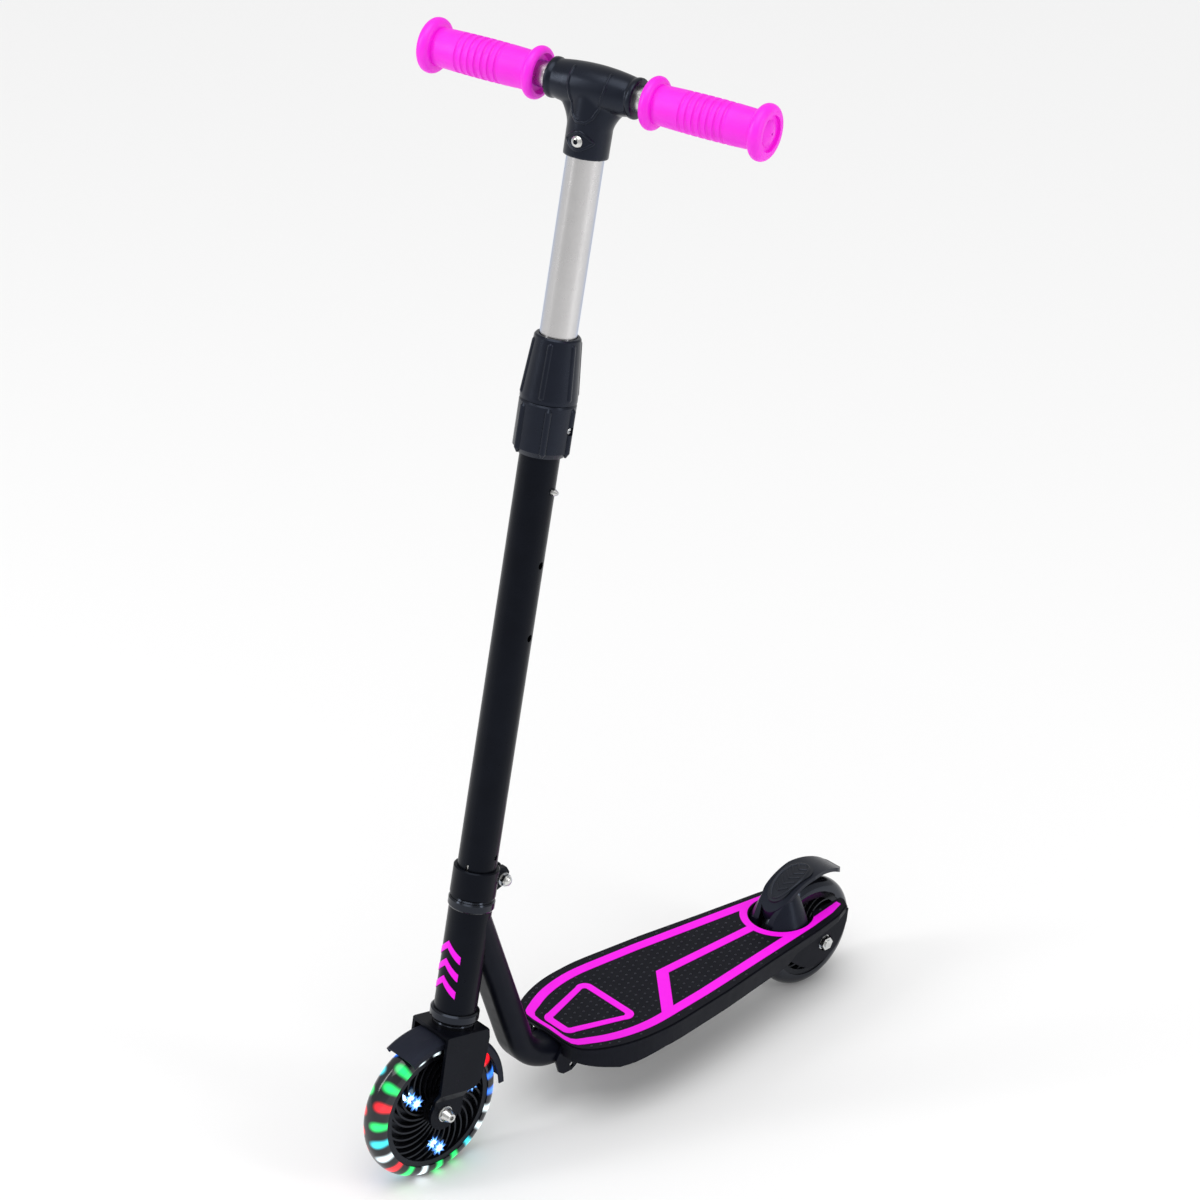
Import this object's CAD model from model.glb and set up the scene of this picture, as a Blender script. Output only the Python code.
"""Looks of the kick scooter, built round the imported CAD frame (metres, +Z up, -Y forward)."""
import math

import bpy
import bmesh
from mathutils import Matrix, Vector
from mathutils.bvhtree import BVHTree


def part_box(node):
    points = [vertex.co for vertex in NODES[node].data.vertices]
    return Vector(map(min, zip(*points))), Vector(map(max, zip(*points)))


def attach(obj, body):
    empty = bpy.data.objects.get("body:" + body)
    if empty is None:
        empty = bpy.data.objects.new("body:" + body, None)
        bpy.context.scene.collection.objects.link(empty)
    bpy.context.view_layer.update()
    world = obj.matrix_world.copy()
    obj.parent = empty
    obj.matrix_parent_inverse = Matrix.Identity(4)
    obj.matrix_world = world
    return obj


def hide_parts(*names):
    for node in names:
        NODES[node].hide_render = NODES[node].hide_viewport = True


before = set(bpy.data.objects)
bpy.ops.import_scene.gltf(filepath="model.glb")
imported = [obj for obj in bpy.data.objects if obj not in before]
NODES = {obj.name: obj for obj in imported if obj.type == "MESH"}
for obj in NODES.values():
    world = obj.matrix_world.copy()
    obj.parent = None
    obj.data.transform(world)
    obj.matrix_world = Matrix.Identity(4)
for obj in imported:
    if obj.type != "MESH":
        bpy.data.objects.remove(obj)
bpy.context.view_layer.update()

RAKE = math.radians(11.6)      # the steering column leans back by this much
BAR_YAW = math.radians(18)     # the CAD has the bar turned by this much about the column
SIDEWAYS = Vector((1, 0, 0))


def centre(node):
    """The middle of a CAD node's box, at rest."""
    lo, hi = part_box(node)
    return (lo + hi) / 2


# ------------------------------------------------------------------ materials

def new_material(name):
    m = bpy.data.materials.new(name)
    m.use_nodes = True
    t = m.node_tree
    return m, t, t.nodes["Principled BSDF"]


def noise(t, scale, detail=3.0, rough=0.5):
    n = t.nodes.new("ShaderNodeTexNoise")
    n.inputs["Scale"].default_value = scale
    n.inputs["Detail"].default_value = detail
    n.inputs["Roughness"].default_value = rough
    t.links.new(t.nodes.new("ShaderNodeTexCoord").outputs["Object"], n.inputs["Vector"])
    return n.outputs["Fac"]


NOISE_LOW, NOISE_HIGH = 0.3, 0.7    # the noise values that are spread out; the rest is clamped


def spread(t, value, lo, hi):
    """Noise values mapped to run from lo to hi."""
    r = t.nodes.new("ShaderNodeMapRange")
    r.inputs["From Min"].default_value = NOISE_LOW
    r.inputs["From Max"].default_value = NOISE_HIGH
    r.inputs["To Min"].default_value = lo
    r.inputs["To Max"].default_value = hi
    t.links.new(value, r.inputs["Value"])
    return r.outputs["Result"]


def two_tone(t, fac, a, b):
    mix = t.nodes.new("ShaderNodeMix")
    mix.data_type = "RGBA"
    t.links.new(fac, mix.inputs["Factor"])
    mix.inputs["A"].default_value = (*a, 1)
    mix.inputs["B"].default_value = (*b, 1)
    return mix.outputs["Result"]


def bump(t, height, strength, distance, below=None):
    b = t.nodes.new("ShaderNodeBump")
    b.inputs["Strength"].default_value = strength
    b.inputs["Distance"].default_value = distance
    t.links.new(height, b.inputs["Height"])
    if below is not None:
        t.links.new(below, b.inputs["Normal"])
    return b.outputs["Normal"]


SMUDGE_SCALE = 2.7                      # smudges are this much finer than the colour patches
FINE_STRENGTH, FINE_DEPTH = 0.6, 0.5    # the second grain's share of the first
COOL_GLINT = (0.68, 0.78, 1.0, 1)       # reflections are tinted a little blue


def surface(name, dark, light, rough, metal=0.0, grain=900.0, grain_depth=0.00006,
            grain_strength=0.5, patch=35.0, fine=None, specular=0.5):
    """A worn, slightly uneven solid surface: colour patches, grain bump, uneven roughness.

    dark and light are the two colours, and rough is the range of roughness."""
    m, t, b = new_material(name)
    patches = noise(t, patch, 4.0, 0.6)
    colour = two_tone(t, spread(t, patches, 0, 1), dark, light)
    t.links.new(colour, b.inputs["Base Color"])
    smudges = noise(t, patch * SMUDGE_SCALE, 5.0, 0.65)
    t.links.new(spread(t, smudges, *rough), b.inputs["Roughness"])
    normal = bump(t, noise(t, grain, 2.0), grain_strength, grain_depth)
    if fine:
        normal = bump(t, noise(t, fine, 1.0), grain_strength * FINE_STRENGTH,
                      grain_depth * FINE_DEPTH, normal)
    t.links.new(normal, b.inputs["Normal"])
    b.inputs["Metallic"].default_value = metal
    b.inputs["Specular IOR Level"].default_value = specular
    b.inputs["Specular Tint"].default_value = COOL_GLINT
    return m


M = {}
M["powder"] = surface("black_powder_coat", (0.0022, 0.0024, 0.004), (0.0035, 0.004, 0.0065),
                      (0.26, 0.34), grain=750, grain_depth=0.00006, grain_strength=0.3,
                      specular=0.12)
M["charcoal"] = surface("charcoal_paint", (0.0028, 0.003, 0.006), (0.0045, 0.005, 0.009),
                        (0.30, 0.38), grain=700, grain_depth=0.00006, grain_strength=0.3,
                        specular=0.12)
M["black"] = surface("black_plastic", (0.0028, 0.0034, 0.007), (0.0045, 0.0055, 0.011),
                     (0.26, 0.33), grain=1400, grain_depth=0.00005, grain_strength=0.35,
                     fine=3200, specular=0.34)
M["visor"] = surface("visor_plastic", (0.006, 0.007, 0.013), (0.009, 0.010, 0.018),
                     (0.5, 0.6), grain=1800, grain_depth=0.00008, grain_strength=0.5,
                     specular=0.25)
M["gloss_black"] = surface("headset_black", (0.004, 0.004, 0.005), (0.007, 0.007, 0.008),
                           (0.14, 0.22), grain=500, grain_depth=0.00003, grain_strength=0.2,
                           specular=0.4)
M["hub"] = surface("hub_plastic", (0.003, 0.003, 0.004), (0.005, 0.005, 0.0065),
                   (0.24, 0.36), grain=1200, grain_depth=0.00004, grain_strength=0.3,
                   specular=0.3)
M["deck"] = surface("deck_plastic", (0.003, 0.003, 0.005), (0.005, 0.005, 0.008),
                    (0.42, 0.52), grain=1500, grain_depth=0.00008, grain_strength=0.4,
                    fine=4000, specular=0.14)
M["stud"] = surface("deck_stud_plastic", (0.018, 0.018, 0.022), (0.03, 0.03, 0.036),
                    (0.25, 0.35), grain=1500, grain_depth=0.00004, grain_strength=0.3,
                    specular=0.5)
M["inlay"] = surface("magenta_inlay", (0.90, 0.004, 0.80), (0.95, 0.007, 0.86),
                     (0.42, 0.52), grain=1500, grain_depth=0.00006, grain_strength=0.35,
                     specular=0.25)
M["alloy"] = surface("satin_alloy", (0.60, 0.59, 0.59), (0.63, 0.62, 0.62), (0.25, 0.28),
                     metal=1.0, grain=2600, grain_depth=0.00001, grain_strength=0.06,
                     patch=50)
M["zinc"] = surface("zinc_steel", (0.55, 0.55, 0.54), (0.72, 0.72, 0.7), (0.18, 0.34),
                    metal=1.0, grain=900, grain_depth=0.00004, grain_strength=0.3, patch=160)
M["nylon"] = surface("pale_nylon", (0.6, 0.6, 0.56), (0.68, 0.68, 0.64), (0.4, 0.5),
                     grain=1200, grain_depth=0.00005)
M["smoke"] = surface("smoke_urethane", (0.003, 0.003, 0.004), (0.006, 0.006, 0.008),
                     (0.10, 0.2), grain=300, grain_depth=0.00004, grain_strength=0.2,
                     specular=0.5)
M["rubber"] = surface("black_rubber", (0.005, 0.005, 0.006), (0.008, 0.008, 0.010),
                      (0.34, 0.44), grain=1600, grain_depth=0.00006, grain_strength=0.4,
                      specular=0.45)


def grip_material():
    """Soft magenta rubber, with a little light passing through it."""
    m, t, b = new_material("magenta_grip")
    patches = noise(t, 40, 4.0, 0.6)
    t.links.new(two_tone(t, spread(t, patches, 0, 1), (0.92, 0.006, 0.76), (0.98, 0.012, 0.83)),
                b.inputs["Base Color"])
    t.links.new(spread(t, noise(t, 120, 5.0), 0.38, 0.52), b.inputs["Roughness"])
    normal = bump(t, noise(t, 2200, 2.0), 0.5, 0.00008)
    t.links.new(normal, b.inputs["Normal"])
    b.inputs["Subsurface Weight"].default_value = 0.05
    b.inputs["Subsurface Radius"].default_value = (0.004, 0.001, 0.002)
    b.inputs["Subsurface Scale"].default_value = 1.0
    return m


M["grip"] = grip_material()


def calc(t, operation, a, b=None):
    """A maths node on one or two numbers or sockets."""
    n = t.nodes.new("ShaderNodeMath")
    n.operation = operation
    for socket, value in zip(n.inputs, (a, b)):
        if value is None:
            continue
        if isinstance(value, (int, float)):
            socket.default_value = value
        else:
            t.links.new(value, socket)
    return n.outputs[0]


FIRST_SPOT = 50.0       # keeps every spot's number above zero
NEXT_ROW = 37.0         # added to the numbers in the second row, so that its colours differ
SPOT_WIDTH = 0.72       # a distance across the tyre counts for less, so spots are wider than long


def ring_of_spots(t, node, count, radius, half_gap):
    """Distance from the nearest of two staggered rings of spots round a wheel's axle, and that
    spot's number. Each ring has count spots; half_gap is half the distance between the rings."""
    box = NODES[node].data
    mid = [(min(v.co[k] for v in box.vertices) + max(v.co[k] for v in box.vertices)) / 2
           for k in range(3)]
    shift = t.nodes.new("ShaderNodeVectorMath")
    shift.operation = "SUBTRACT"
    t.links.new(t.nodes.new("ShaderNodeTexCoord").outputs["Object"], shift.inputs[0])
    shift.inputs[1].default_value = mid
    split = t.nodes.new("ShaderNodeSeparateXYZ")
    t.links.new(shift.outputs[0], split.inputs[0])
    x, y, z = split.outputs
    angle = calc(t, "MULTIPLY", calc(t, "ARCTAN2", z, y), count / (2 * math.pi))
    angle = calc(t, "ADD", angle, FIRST_SPOT + 0.5)
    row = calc(t, "GREATER_THAN", x, 0.0)
    angle = calc(t, "ADD", angle, calc(t, "MULTIPLY", row, 0.5))
    number = calc(t, "FLOOR", angle)
    along = calc(t, "SUBTRACT", calc(t, "SUBTRACT", angle, number), 0.5)
    along = calc(t, "MULTIPLY", along, 2 * math.pi * radius / count)
    across = calc(t, "SUBTRACT", calc(t, "ABSOLUTE", x), half_gap)
    across = calc(t, "MULTIPLY", across, SPOT_WIDTH)
    square = calc(t, "ADD", calc(t, "MULTIPLY", along, along),
                  calc(t, "MULTIPLY", across, across))
    return calc(t, "SQRT", square), calc(t, "ADD", number, calc(t, "MULTIPLY", row, NEXT_ROW))


def colour_steps(t, fac, stops, interpolation):
    """A colour ramp; stops are (place, colour)."""
    ramp = t.nodes.new("ShaderNodeValToRGB")
    ramp.color_ramp.interpolation = interpolation
    while len(ramp.color_ramp.elements) < len(stops):
        ramp.color_ramp.elements.new(0.5)
    for element, (place, colour) in zip(ramp.color_ramp.elements, stops):
        element.position = place
        element.color = (*colour, 1)
    t.links.new(fac, ramp.inputs[0])
    return ramp.outputs[0]


TYRE_LIGHTS = 22            # in each of the two rows
TYRE_LIGHT_RADIUS = 0.066   # of the ring they make round the axle
TYRE_LIGHT_ROW = 0.0095     # from the middle of the tread to a row
GLOW_EDGE = 0.0064          # from a light's middle to where its glow ends
GLOW_CORE = 0.0008          # from a light's middle to where its glow starts to fade
TYRE_GLOW = 1.9


def lit_tyre():
    """Glossy smoke-clear urethane with a double row of coloured lights shining through it."""
    m, t, b = new_material("clear_urethane")
    t.links.new(two_tone(t, spread(t, noise(t, 60, 3.0), 0, 1), (0.006, 0.007, 0.010),
                         (0.016, 0.018, 0.024)), b.inputs["Base Color"])
    t.links.new(spread(t, noise(t, 90, 4.0), 0.08, 0.16), b.inputs["Roughness"])
    t.links.new(bump(t, noise(t, 260, 2.0), 0.2, 0.0002), b.inputs["Normal"])
    away, number = ring_of_spots(t, "front_tyre", TYRE_LIGHTS, TYRE_LIGHT_RADIUS,
                                 TYRE_LIGHT_ROW)
    pick = t.nodes.new("ShaderNodeTexWhiteNoise")
    pick.noise_dimensions = "1D"
    t.links.new(number, pick.inputs["W"])
    colours = colour_steps(t, pick.outputs["Value"], [
        (0.0, (1.0, 0.01, 0.02)), (0.30, (0.01, 0.85, 0.16)), (0.52, (0.04, 0.22, 1.0)),
        (0.64, (0.80, 0.95, 1.0)), (0.84, (0.04, 0.75, 0.9))], "CONSTANT")
    t.links.new(colours, b.inputs["Emission Color"])
    power = t.nodes.new("ShaderNodeMapRange")
    power.interpolation_type = "SMOOTHSTEP"
    power.inputs["From Min"].default_value = GLOW_EDGE
    power.inputs["From Max"].default_value = GLOW_CORE
    power.inputs["To Min"].default_value = 0.0
    power.inputs["To Max"].default_value = TYRE_GLOW
    t.links.new(away, power.inputs["Value"])
    t.links.new(power.outputs["Result"], b.inputs["Emission Strength"])
    return m


M["clear"] = lit_tyre()


def star_lens():
    """Hub light: a blue-white lamp behind a clear lens."""
    m, t, b = new_material("hub_light_lens")
    b.inputs["Base Color"].default_value = (0.5, 0.7, 0.9, 1)
    t.links.new(spread(t, noise(t, 500, 2.0), 0.15, 0.3), b.inputs["Roughness"])
    b.inputs["Emission Color"].default_value = (0.55, 0.8, 1.0, 1)
    b.inputs["Emission Strength"].default_value = 3.0
    return m


def flare():
    """Light spilling from a hub light: white in the middle, blue, then dark at the tips."""
    m, t, b = new_material("hub_light_flare")
    b.inputs["Base Color"].default_value = (0.004, 0.004, 0.006, 1)
    t.links.new(spread(t, noise(t, 500, 2.0), 0.3, 0.45), b.inputs["Roughness"])
    level = t.nodes.new("ShaderNodeAttribute")
    level.attribute_name = "level"
    t.links.new(colour_steps(t, level.outputs["Fac"], [
        (0.0, (0.0, 0.0, 0.0)), (0.35, (0.03, 0.16, 0.55)), (0.7, (0.25, 0.6, 1.0)),
        (1.0, (1.0, 1.0, 1.0))], "LINEAR"), b.inputs["Emission Color"])
    b.inputs["Emission Strength"].default_value = 2.6
    return m


M["flare"] = flare()
M["lens"] = star_lens()
M["strip"] = surface("light_strip", (0.06, 0.07, 0.09), (0.10, 0.11, 0.13), (0.3, 0.5),
                     grain=900, grain_depth=0.00004)

NODE_MATERIAL = {
    "powder": ["head_tube", "fork_bracket", "lower_stem_tube", "clamp_collar", "rear_bracket",
               "keel_tube", "keel_cross_bars"],
    "charcoal": ["neck_tube", "neck_lugs"],
    "black": ["t_connector", "lock_base", "lock_nut", "brake_fender"],
    "visor": ["front_mudguard"],
    "gloss_black": ["lower_head_cup", "upper_head_cup", "crown_race", "compression_ring"],
    "hub": ["front_hub", "rear_hub"],
    "deck": ["deck_shell"],
    "inlay": ["deck_inlay", "head_emblem"],
    "grip": ["grip_left", "grip_right", "grip_plug_left", "grip_plug_right"],
    "alloy": ["upper_stem_tube", "crossbar", "front_bearing_sleeve", "rear_bearing_sleeve"],
    "zinc": ["steerer_tube", "front_axle", "front_axle_nut", "front_spacers", "clamp_bolt",
             "clamp_nut", "rear_axle", "rear_axle_nuts", "rear_spacers", "deck_screws",
             "mudguard_screws", "t_bolt", "t_nut", "lock_base_screw", "brake_pin",
             "brake_spring", "button_spring", "height_button", "lower_bearing",
             "upper_bearing", "front_bearings", "rear_bearings"],
    "nylon": ["stem_tail_bush", "lock_collet"],
    "clear": ["front_tyre"],
    "strip": ["front_light_ring"],
    "lens": ["front_hub_lights"],
    "smoke": ["rear_tyre"],
    "rubber": ["brake_tread"],
}


def dress(o, material):
    """Gives an object one material and no other."""
    o.data.materials.clear()
    o.data.materials.append(material)


def smooth_by_angle(o, degrees):
    for p in o.data.polygons:
        p.use_smooth = True
    bpy.context.view_layer.objects.active = o
    for other in bpy.context.selected_objects:
        other.select_set(False)
    o.select_set(True)
    bpy.ops.object.shade_smooth_by_angle(angle=math.radians(degrees))
    o.select_set(False)


done = set()
for key, names in NODE_MATERIAL.items():
    for n in names:
        dress(NODES[n], M[key])
        done.add(n)
assert done == set(NODES), sorted(set(NODES) - done)


def add_piece(name, bm, body, material, smooth=None):
    """A new visible piece that rides on a body; smooth is the angle for smooth shading."""
    mesh = bpy.data.meshes.new(name)
    bm.to_mesh(mesh)
    bm.free()
    o = bpy.data.objects.new(name, mesh)
    bpy.context.scene.collection.objects.link(o)
    dress(o, material)
    if smooth is not None:
        smooth_by_angle(o, smooth)
    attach(o, body)
    return o


# ------------------------------------------------------------------ footboard studs

def skin_tree(o):
    """The shown skin of an object at rest, for ray casts."""
    shown = o.evaluated_get(bpy.context.evaluated_depsgraph_get())
    bm = bmesh.new()
    bm.from_mesh(shown.to_mesh())
    shown.to_mesh_clear()
    tree = BVHTree.FromBMesh(bm)
    bm.free()
    return tree


STUD_PITCH = 0.0078
STUD_HALF = 0.0014      # half a stud's width at its foot
STUD_RISE = 0.0008
STUD_SUNK = 0.0002      # its foot starts this far inside the footboard
FOOT_LONG = 1.3         # the foot's length over its width
TIP_WIDE, TIP_LONG = 0.45, 0.6      # the flat top's half sizes, as shares of STUD_HALF
STUD_MARGIN = 2.0       # bare footboard needed round a stud's middle, in STUD_HALFs
PROBE_ABOVE, PROBE_REACH, FLAT_WITHIN = 0.02, 0.03, 0.0001
DIAMOND = ((1, 0), (0, 1), (-1, 0), (0, -1))


def deck_studs():
    """Small raised diamonds over the dark areas of the footboard."""
    lo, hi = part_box("deck_shell")
    inlay = skin_tree(NODES["deck_inlay"])
    shell = skin_tree(NODES["deck_shell"])
    top = hi.z
    bm = bmesh.new()
    down = Vector((0, 0, -1))
    rows = int((hi.y - lo.y) / STUD_PITCH) + 1
    cols = int((hi.x - lo.x) / STUD_PITCH) + 2

    def free(x, y):
        """Whether the flat top of the footboard is bare here."""
        p = Vector((x, y, top + PROBE_ABOVE))
        if inlay.ray_cast(p, down, PROBE_REACH)[0] is not None:
            return False
        spot = shell.ray_cast(p, down, PROBE_REACH)[0]
        return spot is not None and abs(spot.z - top) < FLAT_WITHIN

    def diamond(x, y, half_x, half_y, z):
        return [bm.verts.new((x + dx * half_x, y + dy * half_y, z)) for dx, dy in DIAMOND]

    for j in range(rows):
        for i in range(-cols // 2, cols // 2 + 1):
            x = (i + (0.5 if j % 2 else 0.0)) * STUD_PITCH
            y = lo.y + j * STUD_PITCH
            m = STUD_HALF * STUD_MARGIN
            if not all(free(x + dx * m, y + dy * m) for dx, dy in DIAMOND):
                continue
            base = diamond(x, y, STUD_HALF, STUD_HALF * FOOT_LONG, top - STUD_SUNK)
            tip = diamond(x, y, STUD_HALF * TIP_WIDE, STUD_HALF * TIP_LONG, top + STUD_RISE)
            for k in range(4):
                bm.faces.new((base[k], base[(k + 1) % 4], tip[(k + 1) % 4], tip[k]))
            bm.faces.new(tip)
            bm.faces.new(base[::-1])
    add_piece("deck_studs", bm, "frame", M["stud"])


deck_studs()


# ------------------------------------------------------------------ raised lines

BEAD_SIDES = 8
BEAD_STEP = 0.8         # in mm, along a line
BEAD_FLAT = 0.7         # a bead's height over its half width
BEAD_END = 0.5          # the end rings of an open line are this share of the full size
BEAD_START = 0.06       # rays start this far outside the skin
BEAD_SMOOTH = 60        # degrees


def bead(name, under, body, origin, u, v, lines, radius, material):
    """Raised lines laid on an object's skin. Each line is a list of (u, v) in mm, seen along
    the direction v x u, and a line that ends where it began is closed."""
    tree = skin_tree(under)
    out = u.cross(v).normalized()
    bm = bmesh.new()
    for line in lines:
        closed = line[0] == line[-1]
        spots = []
        for (a, b), (c, d) in zip(line, line[1:]):
            steps = max(1, int(math.hypot(c - a, d - b) / BEAD_STEP))
            spots += [(a + (c - a) * k / steps, b + (d - b) * k / steps) for k in range(steps)]
        if not closed:
            spots.append(line[-1])
        skin = []
        for a, b in spots:
            start = origin + u * (a / 1000) + v * (b / 1000) + out * BEAD_START
            hit, normal = tree.ray_cast(start, -out)[:2]
            if hit is not None:
                skin.append((hit, normal if normal.dot(out) > 0 else -normal))
        count = len(skin)
        rings = []
        for k, (hit, normal) in enumerate(skin):
            before = skin[k - 1][0] if closed or k else hit
            after = skin[(k + 1) % count][0] if closed or k < count - 1 else hit
            across = (after - before).normalized().cross(normal).normalized()
            end = BEAD_END if not closed and k in (0, count - 1) else 1.0
            ring = []
            for i in range(BEAD_SIDES):
                turn = 2 * math.pi * i / BEAD_SIDES
                ring.append(bm.verts.new(hit + across * (radius * end * math.cos(turn))
                                         + normal * (radius * end * BEAD_FLAT * math.sin(turn))))
            rings.append(ring)
        last = count if closed else count - 1
        for k in range(last):
            one, two = rings[k], rings[(k + 1) % count]
            for i in range(BEAD_SIDES):
                j = (i + 1) % BEAD_SIDES
                bm.faces.new((one[i], one[j], two[j], two[i]))
        if not closed:
            bm.faces.new(rings[0][::-1])
            bm.faces.new(rings[-1])
    bmesh.ops.recalc_face_normals(bm, faces=bm.faces)
    add_piece(name, bm, body, material, BEAD_SMOOTH)


def oval(a, b, power=2.0, count=40):
    """A closed line: an ellipse for power 2, and for any other power two arcs of
    y = 1 - |x|**power, which meet in a point at each end."""
    line = []
    for k in range(count):
        t = 2 * math.pi * k / count
        x = math.cos(t)
        y = math.sqrt(max(0.0, 1 - x * x)) if power == 2.0 else 1 - abs(x) ** power
        line.append((a * x, b * y * (1 if t <= math.pi else -1)))
    return line + [line[0]]


# Directions: STEM_Z runs up the column and BAR_X along the bar, as they stand at rest.
STEM_Y = Vector((0, math.cos(RAKE), -math.sin(RAKE)))
STEM_Z = Vector((0, math.sin(RAKE), math.cos(RAKE)))
BAR_X = SIDEWAYS * math.cos(BAR_YAW) + STEM_Y * math.sin(BAR_YAW)
BAR_Y = STEM_Y * math.cos(BAR_YAW) - SIDEWAYS * math.sin(BAR_YAW)

# Sizes of the T connector's moulding, in mm, from the middle of the crossbar.
T_AROUND = 64                               # sides of its loops
BARREL_HALF, BARREL_STEP = 41, 2
BARREL_RADIUS, BARREL_TAPER = 19.3, 404     # radius = BARREL_RADIUS - x * x / BARREL_TAPER
LIP = (36.6, 41.3, 17.3)                    # from, to, radius
NECK = ((-56.8, 19.0, 19.0), (-30, 19.2, 19.2), (0, 19.2, 18.6))    # height, half sizes
FLARE_FOOT, FLARE_RISE, FLARE_STEPS = -40, 2.4, 12
FLARE_HALF, FLARE_WIDER, FLARE_THINNER, FLARE_CURVE = 18.6, 15.5, 3.4, 2.2
SKIN_VOXEL = 0.0009
SKIN_SOFTENING = 10


def moulded_t():
    """The T connector as one moulding: barrel, neck and the flare that blends them."""
    mid = centre("crossbar")
    bm = bmesh.new()

    def loft(rings, place):
        made = []
        for ring in rings:
            made.append([bm.verts.new(mid + place(ring, 2 * math.pi * k / T_AROUND) / 1000)
                         for k in range(T_AROUND)])
        for one, two in zip(made, made[1:]):
            for k in range(T_AROUND):
                n = (k + 1) % T_AROUND
                bm.faces.new((one[k], one[n], two[n], two[k]))
        bm.faces.new(made[0][::-1])
        bm.faces.new(made[-1])

    def lying(ring, a):
        x, r = ring
        return BAR_X * x + BAR_Y * (r * math.cos(a)) + STEM_Z * (r * math.sin(a))

    def standing(ring, a):
        z, half_x, half_y = ring
        return BAR_X * (half_x * math.cos(a)) + BAR_Y * (half_y * math.sin(a)) + STEM_Z * z

    loft([(x, BARREL_RADIUS - x * x / BARREL_TAPER)
          for x in range(-BARREL_HALF, BARREL_HALF + 1, BARREL_STEP)], lying)
    lip_from, lip_to, lip_radius = LIP
    for side in (-1, 1):
        loft([(side * lip_from, lip_radius), (side * lip_to, lip_radius)], lying)
    loft(NECK, standing)
    loft([(FLARE_FOOT + FLARE_RISE * k,
           FLARE_HALF + FLARE_WIDER * (k / FLARE_STEPS) ** FLARE_CURVE,
           FLARE_HALF - FLARE_THINNER * k / FLARE_STEPS) for k in range(FLARE_STEPS + 1)],
         standing)
    bmesh.ops.recalc_face_normals(bm, faces=bm.faces)
    o = add_piece("t_connector_moulding", bm, "handlebar", M["black"])
    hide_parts("t_connector")
    remesh = o.modifiers.new("skin", "REMESH")
    remesh.mode = "VOXEL"
    remesh.voxel_size = SKIN_VOXEL
    remesh.use_smooth_shade = True
    soft = o.modifiers.new("soft", "SMOOTH")
    soft.factor = 0.5
    soft.iterations = SKIN_SOFTENING
    return o


# In mm from the T bolt: an eye round the bolt, and over it an arch that follows the neck.
BOLT_EYE = oval(12.5, 7.6, 1.7)
HALF_ARCH = [(17, 58), (17, 46), (14, 32), (9, 20), (4, 15.5)]
ARCH = [(-x, z) for x, z in HALF_ARCH] + HALF_ARCH[::-1]
T_LINE_RADIUS = 0.0014

bead("t_connector_lines", moulded_t(), "handlebar", centre("t_bolt"), BAR_X, STEM_Z,
     [BOLT_EYE, ARCH], T_LINE_RADIUS, M["black"])

# In mm from the middle of the brake tread: a rim, and inside it a column of chevrons.
TREAD_RIM = oval(12.2, 22.5)
CHEVRONS, CHEVRON_PITCH, FIRST_CHEVRON = 5, 7, -14.0
SHORT_REACH, LONG_REACH = 7.5, 9.0      # the first and last are the short ones
ARM_UP, POINT_DOWN = 0.5, 0.2           # of a chevron, as shares of its reach
RIB_RADIUS = 0.0013


def chevron(k):
    v = FIRST_CHEVRON + CHEVRON_PITCH * k
    reach = SHORT_REACH if k in (0, CHEVRONS - 1) else LONG_REACH
    return [(-reach, v + reach * ARM_UP), (0, v - reach * POINT_DOWN),
            (reach, v + reach * ARM_UP)]


bead("brake_tread_ribs", NODES["brake_tread"], "brake", centre("brake_tread"), SIDEWAYS,
     Vector((0, 1, 0)), [TREAD_RIM] + [chevron(k) for k in range(CHEVRONS)], RIB_RADIUS,
     M["rubber"])


# ------------------------------------------------------------------ hub light flares

STAR_POINTS = 16                        # alternately long and short
STAR_CENTRE = 0.0109                    # from the hub's middle plane outwards
STAR_NEAR = (0.0107, 0.0036, 0.0030)    # plane, radius of a long point, of a short one
STAR_FAR = (0.0103, 0.0085, 0.0044)
NEAR_LEVEL = 0.75                       # brightness where the middle is 1 and the tips 0


def lamp_middles():
    """The middle of each separate lamp in the front hub."""
    bm = bmesh.new()
    bm.from_mesh(NODES["front_hub_lights"].data)
    left, spots = set(bm.verts), []
    for first in list(bm.verts):
        if first not in left:
            continue
        left.discard(first)
        island, edge = [first], [first]
        while edge:
            for e in edge.pop().link_edges:
                for v in e.verts:
                    if v in left:
                        left.discard(v)
                        island.append(v)
                        edge.append(v)
        low = [min(v.co[k] for v in island) for k in range(3)]
        high = [max(v.co[k] for v in island) for k in range(3)]
        spots.append((Vector(low) + Vector(high)) / 2)
    bm.free()
    return spots


def hub_flares():
    """A star of spilt light on both sides of the hub, over each lamp."""
    bm = bmesh.new()
    level = bm.verts.layers.float.new("level")

    def vert(spot, side, x, r, k, value):
        a = 2 * math.pi * k / STAR_POINTS
        v = bm.verts.new((spot.x + side * x, spot.y + r * math.cos(a), spot.z + r * math.sin(a)))
        v[level] = value
        return v

    def ring(spot, side, sizes, value):
        x, long_point, short_point = sizes
        return [vert(spot, side, x, short_point if k % 2 else long_point, k, value)
                for k in range(STAR_POINTS)]

    for spot in lamp_middles():
        for side in (-1, 1):
            top = vert(spot, side, STAR_CENTRE, 0, 0, 1.0)
            near = ring(spot, side, STAR_NEAR, NEAR_LEVEL)
            far = ring(spot, side, STAR_FAR, 0.0)
            for k in range(STAR_POINTS):
                n = (k + 1) % STAR_POINTS
                bm.faces.new((top, near[k], near[n]))
                bm.faces.new((near[k], far[k], far[n], near[n]))
            bm.faces.new(far)
    bmesh.ops.recalc_face_normals(bm, faces=bm.faces)
    add_piece("hub_light_flares", bm, "front_wheel", M["flare"])


hub_flares()

# ------------------------------------------------------------------ stage, light, camera

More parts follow.
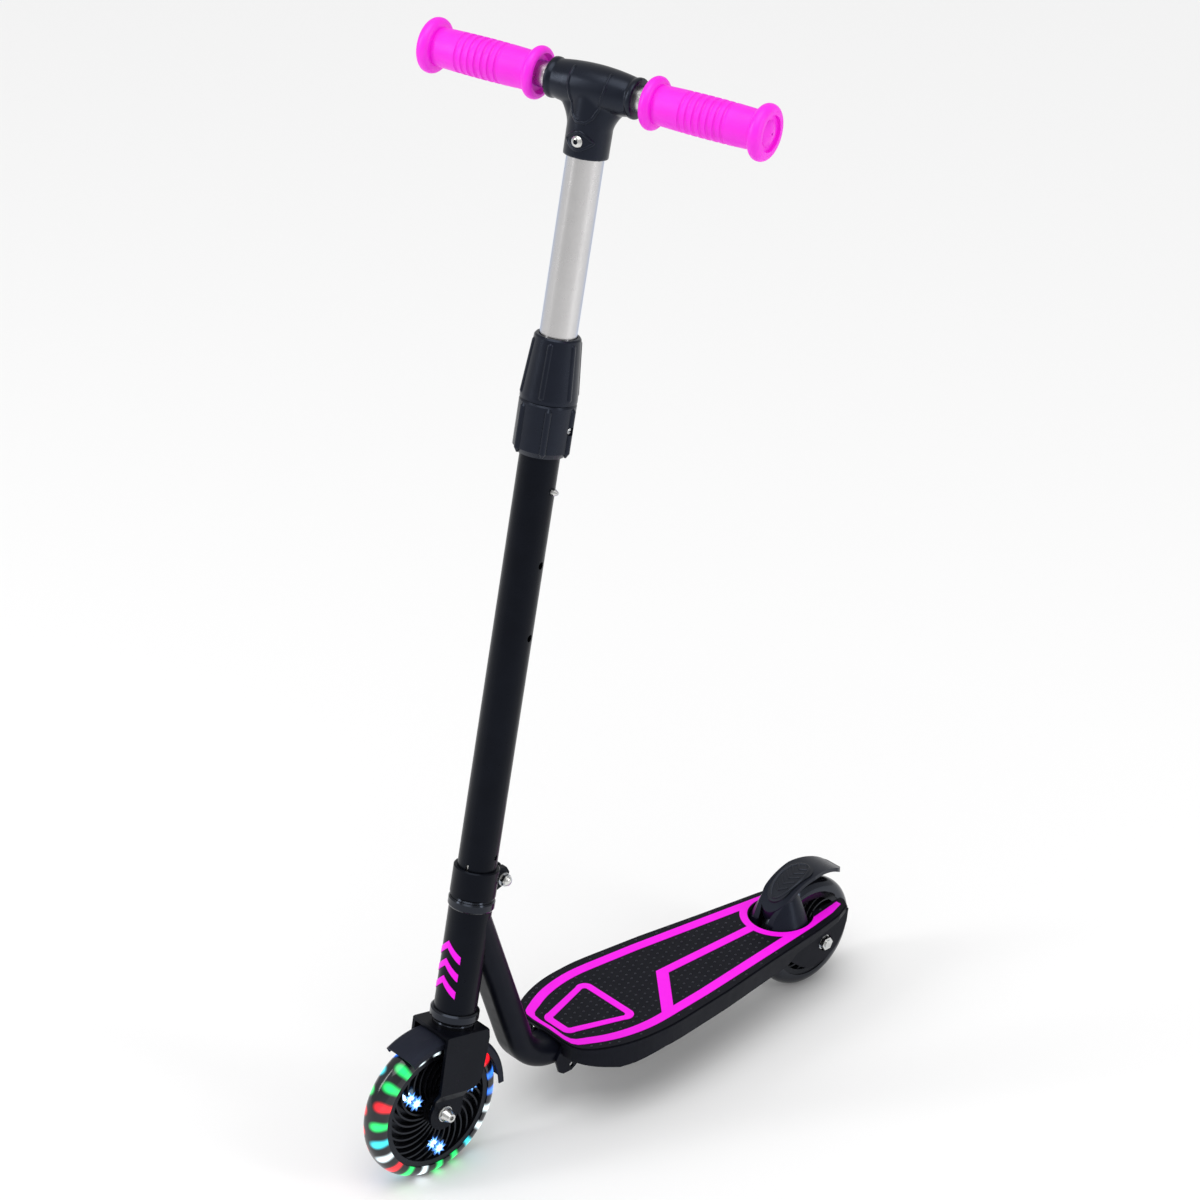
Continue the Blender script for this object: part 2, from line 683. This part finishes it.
FLOOR_HALF = 40.0
FLOOR_DROP = 0.0002     # keeps the floor clear of the tyres' lowest faces

floor_mesh = bpy.data.meshes.new("floor")
floor_mesh.from_pydata([(x * FLOOR_HALF, y * FLOOR_HALF, 0)
                        for x, y in ((-1, -1), (1, -1), (1, 1), (-1, 1))], [], [(0, 1, 2, 3)])
floor = bpy.data.objects.new("floor", floor_mesh)
bpy.context.scene.collection.objects.link(floor)
pale, _, pale_shader = new_material("pale_floor")
pale_shader.inputs["Base Color"].default_value = (0.9, 0.9, 0.9, 1)
pale_shader.inputs["Roughness"].default_value = 0.7
pale_shader.inputs["Specular IOR Level"].default_value = 0.2
dress(floor, pale)
floor.location.z = -FLOOR_DROP

world = bpy.data.worlds.new("studio")
bpy.context.scene.world = world
world.use_nodes = True
background = world.node_tree.nodes["Background"]
background.inputs["Color"].default_value = (1, 1, 1, 1)
background.inputs["Strength"].default_value = 0.54


def area(name, location, target, size, power):
    """A white rectangular light facing the target."""
    light = bpy.data.lights.new(name, "AREA")
    light.shape = "RECTANGLE"
    light.size, light.size_y = size
    light.energy = power
    o = bpy.data.objects.new(name, light)
    bpy.context.scene.collection.objects.link(o)
    o.location = location
    o.rotation_euler = (Vector(target) - Vector(location)).to_track_quat("-Z", "Y").to_euler()


sun = bpy.data.lights.new("daylight", "SUN")
sun.energy = 1.45
sun.angle = math.radians(50)
sun_object = bpy.data.objects.new("daylight", sun)
bpy.context.scene.collection.objects.link(sun_object)
sun_object.rotation_euler = (math.radians(14), math.radians(10), 0)

area("key", (-1.2, -2.4, 2.0), (0, 0, 0.4), (0.5, 1.8), 20)
area("side", (2.6, 0.9, 1.6), (0, 0, 0.5), (0.5, 2.0), 16)

cam_data = bpy.data.cameras.new("camera")
cam_data.sensor_width = 36.0
cam_data.lens = 101.38
cam = bpy.data.objects.new("camera", cam_data)
bpy.context.scene.collection.objects.link(cam)

# Where the camera stands, which way it looks and which way is up in its picture.
eye = Vector((1.978, -1.75489, 1.8642))
look = Vector((-0.6688, 0.5857, -0.4579)).normalized()
roughly_up = Vector((-0.344, 0.302, 0.889))
right = look.cross(roughly_up).normalized()
up = right.cross(look).normalized()
cam.matrix_world = Matrix((
    (right.x, up.x, -look.x, eye.x), (right.y, up.y, -look.y, eye.y),
    (right.z, up.z, -look.z, eye.z), (0, 0, 0, 1)))
bpy.context.scene.camera = cam
bpy.context.scene.view_settings.view_transform = "Standard"
